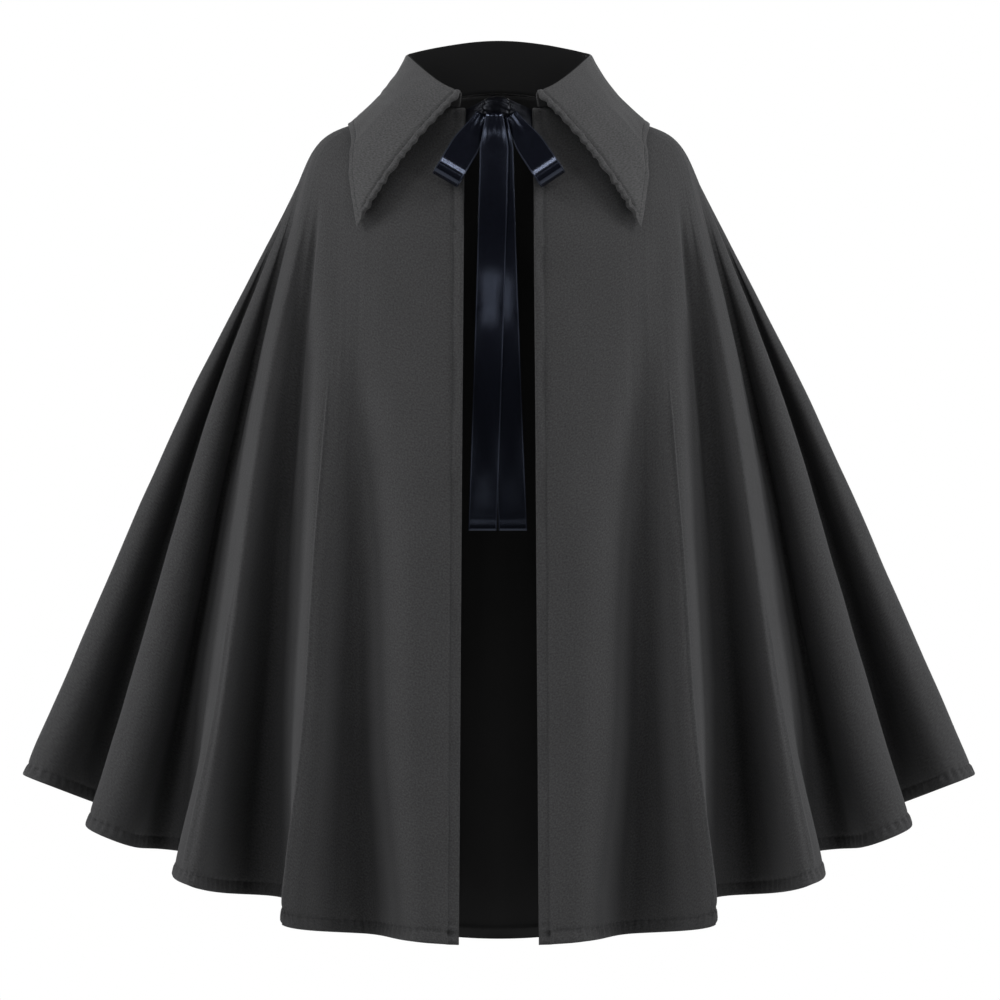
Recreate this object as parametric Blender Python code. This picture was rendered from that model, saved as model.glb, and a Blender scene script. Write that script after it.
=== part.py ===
"""Short cape with a pointed turn-down collar and a ribbon tie, hollow, in the shape it has when worn.

Metres, +Z up. The front faces -Y and the wearer's left is +X. The origin is the middle of the
neckline, level with the point where the neck meets the shoulder.
"""

import math
from collections import namedtuple

import bpy
import numpy as np

# Cloth thicknesses, and the gap left at every seam
CAPE_WALL = 0.0020
COLLAR_WALL = 0.0024
RIBBON_WALL = 0.0010
SEAM_GAP = 0.0003

# Rings round the body: half width, depth to the front and back, and height at front, side and back
Ring = namedtuple("Ring", "half_width front back z_front z_side z_back")
NECKLINE = Ring(0.076, 0.070, 0.062, -0.008, 0.000, 0.014)
SHOULDER = Ring(0.167, 0.095, 0.105, -0.095, -0.028, -0.050)
NECK_FRONT_ANGLE = 23.5  # degrees from centre front where the neckline starts

# The left half of the cape, front edge to centre back. Each row is a line of cloth that leaves the
# shoulder ring at an angle from centre front (degrees) and ends at a place on the hem. The fold it
# belongs to has its full depth from a share of the length, its onset. The line bows outwards in its
# length and, where it has a curl, swings out high up and back in above the hem. Near the hem a line
# with a flare moves sideways by that much, outwards where it is positive.
Fold = namedtuple("Fold", "name angle hem_x hem_y hem_z onset bow curl flare")
FOLDS = [
    Fold("front edge", 10.7, 0.0345, -0.205, -0.739, 0.30, 0.000, 0.000, 0.000),
    Fold("front flat", 25.0, 0.070, -0.213, -0.736, 0.50, 0.000, 0.000, -0.010),
    Fold("front valley", 44.5, 0.114, -0.134, -0.735, 0.50, 0.005, 0.000, -0.011),
    Fold("front ridge", 57.0, 0.187, -0.208, -0.721, 0.55, 0.001, 0.000, 0.014),
    Fold("chest trough, front", 66.0, 0.189, -0.112, -0.705, 0.28, 0.006, 0.003, -0.014),
    Fold("chest trough", 71.0, 0.221, -0.085, -0.704, 0.25, 0.008, 0.003, 0.000),
    Fold("chest ridge", 79.0, 0.270, -0.171, -0.690, 0.28, 0.007, 0.006, 0.000),
    Fold("chest ridge, outer", 81.5, 0.285, -0.148, -0.685, 0.28, 0.007, 0.006, 0.010),
    Fold("arm trough, front", 85.3, 0.278, -0.068, -0.668, 0.32, 0.008, 0.003, -0.018),
    Fold("arm trough", 87.4, 0.307, -0.044, -0.666, 0.32, 0.008, 0.003, -0.004),
    Fold("arm face", 90.5, 0.337, -0.105, -0.656, 0.36, 0.009, 0.004, 0.000),
    Fold("arm ridge", 92.0, 0.362, -0.099, -0.646, 0.36, 0.010, 0.004, 0.000),
    Fold("side trough, front", 96.2, 0.343, -0.010, -0.635, 0.34, 0.009, 0.003, -0.010),
    Fold("side trough", 97.7, 0.359, 0.010, -0.630, 0.36, 0.009, 0.003, -0.010),
    Fold("side face", 100.4, 0.402, -0.037, -0.610, 0.42, 0.009, 0.002, 0.000),
    Fold("side ridge", 102.0, 0.425, -0.025, -0.602, 0.40, 0.009, 0.002, 0.000),
    Fold("side ridge, back", 103.6, 0.424, 0.005, -0.602, 0.38, 0.009, 0.002, 0.000),
    Fold("behind side", 107.7, 0.374, 0.068, -0.610, 0.30, 0.008, 0.000, 0.000),
    Fold("back arm ridge", 113.5, 0.394, 0.136, -0.618, 0.25, 0.008, 0.003, 0.000),
    Fold("back arm trough", 121.0, 0.301, 0.116, -0.645, 0.30, 0.007, 0.003, 0.000),
    Fold("blade ridge", 130.0, 0.313, 0.210, -0.668, 0.30, 0.006, 0.004, 0.000),
    Fold("blade trough", 140.0, 0.209, 0.161, -0.698, 0.35, 0.005, 0.002, 0.000),
    Fold("back ridge", 150.0, 0.204, 0.256, -0.724, 0.35, 0.004, 0.003, 0.000),
    Fold("back trough", 160.0, 0.107, 0.185, -0.746, 0.40, 0.004, 0.001, 0.000),
    Fold("spine ridge", 170.0, 0.088, 0.266, -0.762, 0.40, 0.003, 0.002, 0.000),
    Fold("centre back", 180.0, 0.000, 0.208, -0.766, 0.45, 0.003, 0.000, 0.000),
]
FLARE_FROM = 0.68  # share of the free length where a flare starts
LEVEL_PASSES = 3  # rounds of evening out that leave the hem without its folds
FOLD_SOFTNESS = 0.012  # half the stretch of hem over which each fold is rounded
SIDE_SEAM_ROW = 16.4  # just behind the side ridge, counted in rows of FOLDS
COLUMNS_PER_ROW = 5

# Where the rings of points lie down each line of cloth
SHOULDER_ROUND = 0.025  # how far from the shoulder ring the cloth starts to turn down
HANG_ROUND = 0.032  # how far below the shoulder ring it hangs free
ON_SHOULDER = (0.0, 0.5, 1.0)  # shares of the way from neckline to the turn
IN_TURN = (0.35, 0.7)  # shares of the turn
IN_HANG = (0.0, 0.10, 0.22, 0.36, 0.52, 0.68, 0.84, 1.0)  # shares of the free length

# The left half of the collar, front end to centre back: where it is sewn (degrees round the neckline),
# the top of its roll, and where its outer edge lies on the cape, as an angle on the shoulder ring and a
# distance from the neckline. The fall stands off a straight line by its bulge.
CollarRow = namedtuple("CollarRow", "name seam_angle roll_x roll_y roll_z edge_angle edge_reach bulge")
COLLAR = [
    CollarRow("front end", 27.5, 0.034, -0.068, 0.007, 46.8, 0.139, 0.013),
    CollarRow("front", 44.0, 0.049, -0.058, 0.014, 52.0, 0.106, 0.012),
    CollarRow("front side", 65.0, 0.066, -0.033, 0.028, 60.0, 0.074, 0.003),
    CollarRow("side", 90.0, 0.080, 0.006, 0.043, 80.0, 0.063, -0.005),
    CollarRow("back side", 120.0, 0.077, 0.042, 0.050, 115.0, 0.063, -0.005),
    CollarRow("back quarter", 150.0, 0.045, 0.071, 0.059, 148.0, 0.072, -0.003),
    CollarRow("back", 180.0, 0.000, 0.081, 0.064, 180.0, 0.080, -0.002),
]
COLLAR_COLUMNS_PER_ROW = 4
ROLL_RADIUS = 0.0022  # of the middle of the collar's wall, at its fold
EDGE_LIFT = 0.0026  # of the collar's outer edge above the cape
IN_STAND = (0.0, 0.5, 1.0)
IN_ROLL = (0.25, 0.5, 0.75)
IN_FALL = (0.0, 0.16, 0.33, 0.5, 0.67, 0.84, 1.0)

# The ribbon tie: a knot at the throat, two loops, two tails and the two ends sewn to the neckline
RIBBON_WIDTH = 0.025
KNOT_CENTRE = (-0.002, -0.090, -0.008)
KNOT_RADII = (0.0135, 0.0095, 0.0105)
PINCHED_WIDTH = 0.014  # of the ribbon where the knot gathers it
LOOP_END = (0.044, -0.098, -0.066)  # middle of a loop's far end
LOOP_OPEN = 0.004  # half the distance between a loop's two layers
LOOP_STEPS = 7
Tail = namedtuple("Tail", "name leaves_y leaves_z top_x top_y foot_x foot_y wave")
TAILS = [
    Tail("ribbon_tail_right", -0.85, -0.52, -0.004, -0.1020, -0.0145, -0.0960, 0.0030),
    Tail("ribbon_tail_left", -0.62, -0.78, 0.000, -0.0995, 0.0125, -0.0935, 0.0026),
]
TAIL_TOP_Z = -0.032  # where the tails hang clear of the knot
TAIL_FOOT_Z = -0.382
TAIL_WAVES = 1.6
TAIL_STEPS = 13

CLOTH_COLOUR = (0.048, 0.048, 0.050)
COLLAR_COLOUR = (0.055, 0.055, 0.057)
RIBBON_COLOUR = (0.010, 0.011, 0.017)


def clear_scene():
    for obj in list(bpy.data.objects):
        bpy.data.objects.remove(obj, do_unlink=True)


def make_material(name, colour, roughness, sheen):
    material = bpy.data.materials.new(name)
    material.use_nodes = True
    shader = material.node_tree.nodes["Principled BSDF"]
    shader.inputs["Base Color"].default_value = (*colour, 1.0)
    shader.inputs["Roughness"].default_value = roughness
    shader.inputs["Metallic"].default_value = 0.0
    shader.inputs["Sheen Weight"].default_value = sheen
    material.diffuse_color = (*colour, 1.0)
    return material


def unit(vectors):
    return vectors / np.linalg.norm(vectors, axis=-1, keepdims=True)


def smooth_share(share):
    share = np.clip(share, 0.0, 1.0)
    return share * share * (3 - 2 * share)


def cubic_through(knots, values, at):
    """Natural cubic spline through the rows of values, read at the given places."""
    knots, values = np.asarray(knots, float), np.asarray(values, float)
    steps = np.diff(knots)
    slopes = np.diff(values, axis=0) / steps[:, None]
    count = len(knots)
    system = np.eye(count)
    right = np.zeros_like(values)
    for i in range(1, count - 1):
        system[i, i - 1 : i + 2] = steps[i - 1], 2 * (steps[i - 1] + steps[i]), steps[i]
        right[i] = 6 * (slopes[i] - slopes[i - 1])
    bends = np.linalg.solve(system, right)
    span = np.clip(np.searchsorted(knots, at, side="right") - 1, 0, count - 2)
    length = steps[span][:, None]
    after = ((at - knots[span])[:, None]) / length
    before = 1 - after
    straight = before * values[span] + after * values[span + 1]
    curve = (before**3 - before) * bends[span] + (after**3 - after) * bends[span + 1]
    return straight + curve * length**2 / 6


def ring_points(ring, angles):
    """Points of a ring round the body, at angles from centre front in degrees."""
    sine, cosine = np.sin(np.radians(angles)), np.cos(np.radians(angles))
    in_front = cosine > 0
    depth = np.where(in_front, ring.front, ring.back)
    end_height = np.where(in_front, ring.z_front, ring.z_back)
    height = ring.z_side + (end_height - ring.z_side) * cosine**2
    return np.stack([ring.half_width * sine, -depth * cosine, height], axis=-1)


def neck_angles(shoulder_angles):
    """Where on the neckline the cloth starts that passes the shoulder ring at these angles."""
    first = FOLDS[0].angle
    share = (shoulder_angles - first) / (180 - first)
    return NECK_FRONT_ANGLE + share * (180 - NECK_FRONT_ANGLE)


def whole_fold_table():
    """Both halves, left front edge to right front edge: knots along the hem, and the table's numbers."""
    left = np.array([row[1:] for row in FOLDS])
    right = left[-2::-1] * (1, -1, 1, 1, 1, 1, 1, -1)
    right[:, 0] = 360 - right[:, 0]
    table = np.vstack([left, right])
    hem_chords = np.linalg.norm(np.diff(table[:, 1:4], axis=0), axis=1)
    return np.concatenate([[0], np.cumsum(hem_chords)]), table


FOLD_KNOTS, FOLD_TABLE = whole_fold_table()


def knot_at_row(row):
    return np.interp(row, np.arange(len(FOLD_KNOTS)), FOLD_KNOTS)


def fold_rows(places):
    """The table's numbers at places along the hem, with every fold rounded."""
    here = cubic_through(FOLD_KNOTS, FOLD_TABLE, places)
    before = cubic_through(FOLD_KNOTS, FOLD_TABLE, places - FOLD_SOFTNESS)
    after = cubic_through(FOLD_KNOTS, FOLD_TABLE, places + FOLD_SOFTNESS)
    return (before + 2 * here + after) / 4


def unfolded_hem(places):
    """The hem with its folds taken out: the line midway between ridges and troughs."""
    level = FOLD_TABLE[:, 1:4].copy()
    for _ in range(LEVEL_PASSES):
        level[1:-1] = (level[:-2] + 2 * level[1:-1] + level[2:]) / 4
    return cubic_through(FOLD_KNOTS, level, places)


def cape_lines(places):
    """Lines of cloth from neckline to hem, as an array of (place along the hem, ring, xyz)."""
    rows = fold_rows(places)
    angles, hem, onset, bow = rows[:, 0], rows[:, 1:4], rows[:, 4:5], rows[:, 5:6]
    curl, flare = rows[:, 6:7], rows[:, 7:8]
    level_hem = unfolded_hem(places)
    neck = ring_points(NECKLINE, neck_angles(angles))
    shoulder = ring_points(SHOULDER, angles)
    turn_start = shoulder + unit(neck - shoulder) * SHOULDER_ROUND
    turn_end = shoulder + unit(level_hem - shoulder) * HANG_ROUND
    outwards = unit((level_hem - shoulder) * (1, 1, 0))
    rings = [neck + share * (turn_start - neck) for share in ON_SHOULDER]
    for share in IN_TURN:
        rings.append((1 - share) ** 2 * turn_start + 2 * share * (1 - share) * shoulder + share**2 * turn_end)
    for share in IN_HANG:
        aim = level_hem + (hem - level_hem) * smooth_share((share + 0.1) / (onset + 0.1))
        not_yet = 1 - smooth_share((share - FLARE_FROM) / (1 - FLARE_FROM))
        aim = aim - flare * not_yet * (1, 0, 0)
        swing = bow * math.sin(math.pi * share) + curl * math.sin(2 * math.pi * share)
        rings.append(turn_end + share * (aim - turn_end) + swing * outwards)
    return np.stack(rings, axis=1)


def grid_normals(grid):
    """Unit normals of a grid of points, from its own steps along both directions."""
    along, across = np.gradient(grid, axis=0), np.gradient(grid, axis=1)
    return unit(np.cross(across, along))


def wall_mesh(name, outer, inner):
    """A closed wall between two matching grids of points, both split along the same diagonals."""
    columns, rings = outer.shape[:2]
    count = columns * rings
    index = np.arange(count).reshape(columns, rings)
    faces = []
    falling = np.linalg.norm(outer[:-1, :-1] - outer[1:, 1:], axis=2)
    rising = np.linalg.norm(outer[:-1, 1:] - outer[1:, :-1], axis=2)
    for i in range(columns - 1):
        for j in range(rings - 1):
            a, b, c, d = index[i, j], index[i, j + 1], index[i + 1, j + 1], index[i + 1, j]
            halves = ((a, b, c), (a, c, d)) if falling[i, j] <= rising[i, j] else ((a, b, d), (b, c, d))
            for half in halves:
                faces.append(half)
                faces.append(tuple(count + k for k in reversed(half)))
    border = list(index[:, 0]) + list(index[-1, 1:]) + list(index[-2::-1, -1]) + list(index[0, -2:0:-1])
    for here, there in zip(border, border[1:] + border[:1]):
        faces.append((here, there, count + there, count + here))
    mesh = bpy.data.meshes.new(name)
    points = np.concatenate([outer.reshape(-1, 3), inner.reshape(-1, 3)])
    mesh.from_pydata(points.tolist(), [], [tuple(int(k) for k in face) for face in faces])
    mesh.validate()
    return mesh


def add_object(name, mesh, material, parent):
    obj = bpy.data.objects.new(name, mesh)
    mesh.materials.append(material)
    mesh.shade_smooth()
    mesh.set_sharp_from_angle(angle=math.radians(50))
    bpy.context.scene.collection.objects.link(obj)
    obj.parent = parent
    return obj


def column_places(first_row, last_row, per_row):
    """Even places along the hem between two rows, a whole number for each row."""
    count = round((last_row - first_row) * per_row) + 1
    return knot_at_row(np.linspace(first_row, last_row, count))


def cape_panel(name, first_row, last_row, trim_first, trim_last, material, parent):
    """One panel of the cape, trimmed by half a seam gap where it is sewn to the next."""
    places = column_places(first_row, last_row, COLUMNS_PER_ROW)
    outer = cape_lines(places)
    along = unit(cape_lines(places + 0.001) - cape_lines(places - 0.001))
    normals = unit(np.cross(np.gradient(outer, axis=1), along))
    outer[0] += along[0] * trim_first
    outer[-1] -= along[-1] * trim_last
    return add_object(name, wall_mesh(name, outer, outer - normals * CAPE_WALL), material, parent)


def cape_surface(angles, reaches):
    """Points on the cape at angles on the shoulder ring and distances from the neckline, with normals."""
    dense = np.linspace(FOLD_KNOTS[0], FOLD_KNOTS[-1], 1200)
    dense_angles = cubic_through(FOLD_KNOTS, FOLD_TABLE[:, :1], dense)[:, 0]

    def points_at(at_angles, at_reaches):
        lines = cape_lines(np.interp(at_angles, dense_angles, dense))
        found = []
        for line, reach in zip(lines, at_reaches):
            lengths = np.concatenate([[0], np.cumsum(np.linalg.norm(np.diff(line, axis=0), axis=1))])
            found.append([np.interp(reach, lengths, line[:, k]) for k in range(3)])
        return np.array(found)

    step_angle, step_reach = 1.0, 0.004
    points = points_at(angles, reaches)
    along = points_at(angles + step_angle, reaches) - points_at(angles - step_angle, reaches)
    down = points_at(angles, reaches + step_reach) - points_at(angles, reaches - step_reach)
    return points, unit(np.cross(down, along))


def whole_collar_table():
    """Both halves of the collar, left front end to right front end."""
    left = np.array([row[1:] for row in COLLAR])
    right = left[-2::-1] * (1, -1, 1, 1, 1, 1, 1)
    right[:, 0] = 360 - right[:, 0]
    right[:, 4] = 360 - right[:, 4]
    return np.vstack([left, right])


def collar_grid():
    """The middle of the collar's wall: up the stand, over the roll and down the fall."""
    table = whole_collar_table()
    knots = np.arange(len(table), dtype=float)
    places = np.linspace(0, knots[-1], (len(table) - 1) * COLLAR_COLUMNS_PER_ROW + 1)
    rows = cubic_through(knots, table, places)
    seam_angle, roll = rows[:, 0], rows[:, 1:4]
    edge_angle, edge_reach, bulge = rows[:, 4], rows[:, 5], rows[:, 6:7]
    seam_share = (seam_angle - NECK_FRONT_ANGLE) / (180 - NECK_FRONT_ANGLE)
    body_angle = FOLDS[0].angle + seam_share * (180 - FOLDS[0].angle)
    seam, seam_normal = cape_surface(body_angle, np.zeros(len(rows)))
    below, _ = cape_surface(body_angle, np.full(len(rows), 0.01))
    off_panel = unit(seam - below)
    foot = seam - seam_normal * CAPE_WALL / 2 + off_panel * (SEAM_GAP + COLLAR_WALL / 2)
    edge_on_cape, edge_normal = cape_surface(edge_angle, edge_reach)
    edge = edge_on_cape + edge_normal * EDGE_LIFT

    outwards = unit(np.stack([np.sin(np.radians(seam_angle)), -np.cos(np.radians(seam_angle))], -1))
    outwards = np.concatenate([outwards, np.zeros((len(rows), 1))], axis=1)
    upwards = np.array([0.0, 0.0, 1.0])
    centre = roll - upwards * ROLL_RADIUS
    stand_top = centre - outwards * ROLL_RADIUS
    fall_top = centre + outwards * ROLL_RADIUS
    middle = (fall_top + edge) / 2 + unit(outwards + edge_normal) * bulge * 2

    lines = [foot + share * (stand_top - foot) for share in IN_STAND]
    for share in IN_ROLL:
        turn = math.pi * share
        lines.append(centre + ROLL_RADIUS * (math.sin(turn) * upwards - math.cos(turn) * outwards))
    for share in IN_FALL:
        lines.append((1 - share) ** 2 * fall_top + 2 * share * (1 - share) * middle + share**2 * edge)
    return np.stack(lines, axis=1)


def add_collar(material, parent):
    grid = collar_grid()
    normals = grid_normals(grid)
    half = COLLAR_WALL / 2
    mesh = wall_mesh("collar", grid + normals * half, grid - normals * half)
    return add_object("collar", mesh, material, parent)


def strip_mesh(name, centres, sides, widths):
    """A flat ribbon along its middle line, with its width along the given side directions."""
    centres, sides = np.asarray(centres, float), unit(np.asarray(sides, float))
    widths = np.asarray(widths, float)[:, None]
    shares = (-0.5, 0.0, 0.5)
    grid = np.stack([centres + sides * widths * share for share in shares], axis=1)
    forwards = np.gradient(centres, axis=0)
    normals = unit(np.cross(forwards, sides))[:, None, :]
    half = RIBBON_WALL / 2
    return wall_mesh(name, grid - normals * half, grid + normals * half)


def add_knot(material, parent):
    """The knot, a flattened ball."""
    rings, sides = 8, 14
    levels = np.linspace(0, math.pi, rings + 1)[1:-1]
    turns = np.linspace(0, 2 * math.pi, sides, endpoint=False)
    points = [(0, 0, 1)]
    for level in levels:
        girth = math.sin(level)
        points += [(girth * math.cos(turn), girth * math.sin(turn), math.cos(level)) for turn in turns]
    points.append((0, 0, -1))
    faces = [(0, 1 + k, 1 + (k + 1) % sides) for k in range(sides)]
    for ring in range(rings - 2):
        start, below = 1 + ring * sides, 1 + (ring + 1) * sides
        for k in range(sides):
            after = (k + 1) % sides
            faces.append((start + k, below + k, below + after, start + after))
    last = len(points) - 1
    start = 1 + (rings - 2) * sides
    faces += [(last, start + (k + 1) % sides, start + k) for k in range(sides)]
    mesh = bpy.data.meshes.new("ribbon_knot")
    mesh.from_pydata((np.array(points) * KNOT_RADII + KNOT_CENTRE).tolist(), [], faces)
    return add_object("ribbon_knot", mesh, material, parent)


def knot_surface(direction):
    """The point just outside the knot in this direction from its middle."""
    direction = unit(np.array(direction, float))
    radius = 1 / np.linalg.norm(direction / KNOT_RADII)
    return np.array(KNOT_CENTRE) + direction * (radius + SEAM_GAP + 0.6 * RIBBON_WALL)


def add_loop(name, side, material, parent):
    """A bow loop: out along the front layer, round its end and back along the layer behind."""
    end = np.array(LOOP_END) * (side, 1, 1)
    start = knot_surface((side * 0.86, -0.05, -0.5))
    run = end - start
    length = np.linalg.norm(run)
    forward = run / length
    across = unit(np.cross(forward, (0.0, -1.0, 0.0)))
    face = unit(np.cross(across, forward))
    face = face if face[1] < 0 else -face
    shares = np.linspace(0, 1, LOOP_STEPS)
    opening = LOOP_OPEN * (0.28 + 0.72 * smooth_share(shares))
    front = [start + forward * length * s + face * o for s, o in zip(shares, opening)]
    turns = np.linspace(0, math.pi, 7)[1:-1]
    bend = [end + face * LOOP_OPEN * math.cos(t) + forward * LOOP_OPEN * math.sin(t) for t in turns]
    back = [start + forward * length * s - face * o for s, o in zip(shares[::-1], opening[::-1])]
    centres = front + bend + back
    width = PINCHED_WIDTH + (RIBBON_WIDTH - PINCHED_WIDTH) * smooth_share(shares * 1.6)
    widths = list(width) + [RIBBON_WIDTH] * len(bend) + list(width[::-1])
    return add_object(name, strip_mesh(name, centres, [across] * len(centres), widths), material, parent)


def add_tail(tail, material, parent):
    """A tail that leaves the underside of the knot and hangs to its free end, with a gentle wave."""
    start = knot_surface((0.0, tail.leaves_y, tail.leaves_z)) + (tail.top_x - KNOT_CENTRE[0], 0.0, 0.0)
    shares = np.linspace(0, 1, TAIL_STEPS)
    wave = tail.wave * np.sin(2 * math.pi * TAIL_WAVES * shares) * smooth_share(shares * 3)
    x = tail.top_x + (tail.foot_x - tail.top_x) * shares**1.2
    y = tail.top_y + (tail.foot_y - tail.top_y) * smooth_share(shares * 2) + wave
    z = TAIL_TOP_Z + (TAIL_FOOT_Z - TAIL_TOP_Z) * shares
    centres = np.vstack([start, np.stack([x, y, z], -1)])
    widths = np.concatenate([[PINCHED_WIDTH], np.full(TAIL_STEPS, RIBBON_WIDTH)])
    widths[1] = (PINCHED_WIDTH + 2 * RIBBON_WIDTH) / 3
    sides = [(1.0, 0.0, 0.0)] * len(centres)
    return add_object(tail.name, strip_mesh(tail.name, centres, sides, widths), material, parent)


def add_sewn_end(name, side, material, parent):
    """The ribbon's sewn end, from the top of the cape's front edge to the knot."""
    front_edge = cape_lines(FOLD_KNOTS[[0]])[0]
    root = front_edge[0] + (front_edge[1] - front_edge[0]) * 0.30
    root = root * (side, 1, 1) + (-side * 0.0012, 0.0, 0.0)
    tip = knot_surface((side * 0.75, 0.62, 0.2))
    shares = np.linspace(0, 1, 5)[:, None]
    centres = root + (tip - root) * shares
    edge_down = unit(front_edge[1] - front_edge[0]) * (side, 1, 1)
    sides = unit(edge_down * (1 - shares) + np.array([0.0, 0.0, -1.0]) * shares)
    widths = 0.016 + (PINCHED_WIDTH * 0.8 - 0.016) * shares[:, 0]
    return add_object(name, strip_mesh(name, centres, sides, widths), material, parent)


def main():
    clear_scene()
    cloth = make_material("cape_cloth", CLOTH_COLOUR, 0.92, 0.3)
    collar_cloth = make_material("collar_cloth", COLLAR_COLOUR, 0.92, 0.3)
    satin = make_material("ribbon_satin", RIBBON_COLOUR, 0.32, 0.0)
    cape = bpy.data.objects.new("cape", None)
    bpy.context.scene.collection.objects.link(cape)

    last_row = len(FOLD_KNOTS) - 1
    half_gap = SEAM_GAP / 2
    cape_panel("front_panel_left", 0, SIDE_SEAM_ROW, 0.0, half_gap, cloth, cape)
    cape_panel("back_panel", SIDE_SEAM_ROW, last_row - SIDE_SEAM_ROW, half_gap, half_gap, cloth, cape)
    cape_panel("front_panel_right", last_row - SIDE_SEAM_ROW, last_row, half_gap, 0.0, cloth, cape)
    add_collar(collar_cloth, cape)

    add_knot(satin, cape)
    for name, side in (("left", 1), ("right", -1)):
        add_loop("ribbon_loop_" + name, side, satin, cape)
        add_sewn_end("ribbon_sewn_end_" + name, side, satin, cape)
    for tail in TAILS:
        add_tail(tail, satin, cape)


main()
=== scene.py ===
import math

import bpy
import numpy as np
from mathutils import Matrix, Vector, noise


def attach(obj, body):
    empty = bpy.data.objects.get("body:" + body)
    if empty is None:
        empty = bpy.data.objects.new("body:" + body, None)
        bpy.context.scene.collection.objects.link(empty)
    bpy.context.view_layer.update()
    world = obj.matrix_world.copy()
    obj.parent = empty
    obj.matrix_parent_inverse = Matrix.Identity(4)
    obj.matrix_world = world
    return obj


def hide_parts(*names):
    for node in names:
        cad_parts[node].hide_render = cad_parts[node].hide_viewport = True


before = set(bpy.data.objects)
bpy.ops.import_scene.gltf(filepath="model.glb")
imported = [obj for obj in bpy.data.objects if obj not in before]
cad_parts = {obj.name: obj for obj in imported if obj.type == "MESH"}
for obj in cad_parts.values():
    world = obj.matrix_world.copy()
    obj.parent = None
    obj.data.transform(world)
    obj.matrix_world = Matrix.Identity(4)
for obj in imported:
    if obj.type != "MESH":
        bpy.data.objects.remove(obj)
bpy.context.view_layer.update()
print("frame loaded", len(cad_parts), "nodes")


def addObject(name, data):
    thing = bpy.data.objects.new(name, data)
    bpy.context.scene.collection.objects.link(thing)
    return thing


# camera level with the middle of the cape, far off with a long lens
shot = {"distance": 5.0, "height": -0.355, "sideways": 0.001, "lens": 200.0, "sensor": 36.0, "farthest": 60.0}
cameraData = bpy.data.cameras.new("photoCamera")
cameraData.lens = shot["lens"]
cameraData.sensor_width = shot["sensor"]
cameraData.clip_end = shot["farthest"]
camera = addObject("photoCamera", cameraData)
camera.location = (shot["sideways"], -shot["distance"], shot["height"])
camera.rotation_euler = (math.radians(90), 0, 0)
bpy.context.scene.camera = camera
print("camera set")


# small helpers on arrays of points

def unit(vectors):
    return vectors / np.maximum(np.linalg.norm(vectors, axis=-1, keepdims=True), 1e-12)


def ease(share):
    share = np.clip(share, 0.0, 1.0)
    return share * share * (3 - 2 * share)


def bump(distance, middle, width):
    return np.exp(-(((distance - middle) / width) ** 2))


def within(distance, reach):
    # one close by, fading to nothing at the reach
    return ease((reach[0] - distance) / reach[1])


def beyond(distance, reach):
    return ease((distance - reach[0]) / reach[1])


def curveOver(start, corner, end, share):
    # from start to end, pulled towards the corner
    return (1 - share) ** 2 * start + 2 * share * (1 - share) * corner + share ** 2 * end


def pointAt(line, lengths, wanted):
    return [np.interp(wanted, lengths, line[:, k]) for k in range(3)]


def runLength(points, axis):
    steps = np.linalg.norm(np.diff(points, axis=axis), axis=-1)
    start = np.zeros_like(np.take(steps, [0], axis=axis))
    return np.concatenate([start, np.cumsum(steps, axis=axis)], axis=axis)


def softNoise(first, second, seed):
    flat = [noise.noise(Vector((a, b, seed))) for a, b in zip(first.ravel(), second.ravel())]
    return np.array(flat).reshape(first.shape)


def curveThrough(knots, values, at):
    # natural cubic spline through the rows of values
    steps = np.diff(knots)
    slopes = np.diff(values, axis=0) / steps[:, None]
    count = len(knots)
    system = np.eye(count)
    right = np.zeros_like(values)
    for i in range(1, count - 1):
        system[i, i - 1:i + 2] = steps[i - 1], 2 * (steps[i - 1] + steps[i]), steps[i]
        right[i] = 6 * (slopes[i] - slopes[i - 1])
    bends = np.linalg.solve(system, right)
    span = np.clip(np.searchsorted(knots, at, side="right") - 1, 0, count - 2)
    length = steps[span][:, None]
    after = (at - knots[span])[:, None] / length
    before = 1 - after
    straight = before * values[span] + after * values[span + 1]
    curve = (before ** 3 - before) * bends[span] + (after ** 3 - after) * bends[span + 1]
    return straight + curve * length ** 2 / 6


def gridNormals(grid):
    return unit(np.cross(np.gradient(grid, axis=1), np.gradient(grid, axis=0)))


def calm(grid, axis, rounds, first=0, last=None):
    # evens out kinks along one direction and keeps the ends
    line = np.moveaxis(grid.copy(), axis, 0)
    last = len(line) - 1 if last is None else last
    for _ in range(rounds):
        middle = (line[first:last - 1] + 2 * line[first + 1:last] + line[first + 2:last + 1]) / 4
        line[first + 1:last] = middle
    return np.moveaxis(line, 0, axis)


def meshPiece(name, points, faces, uv, materials):
    mesh = bpy.data.meshes.new(name)
    mesh.from_pydata(points.tolist(), [], faces)
    for material in materials:
        mesh.materials.append(material)
    layer = mesh.uv_layers.new(name="flatCloth")
    corners = uv[[corner for face in faces for corner in face]]
    layer.data.foreach_set("uv", corners.ravel().tolist())
    mesh.shade_smooth()
    mesh.update()
    print(name, len(faces), "faces")
    return addObject(name, mesh)


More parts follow.
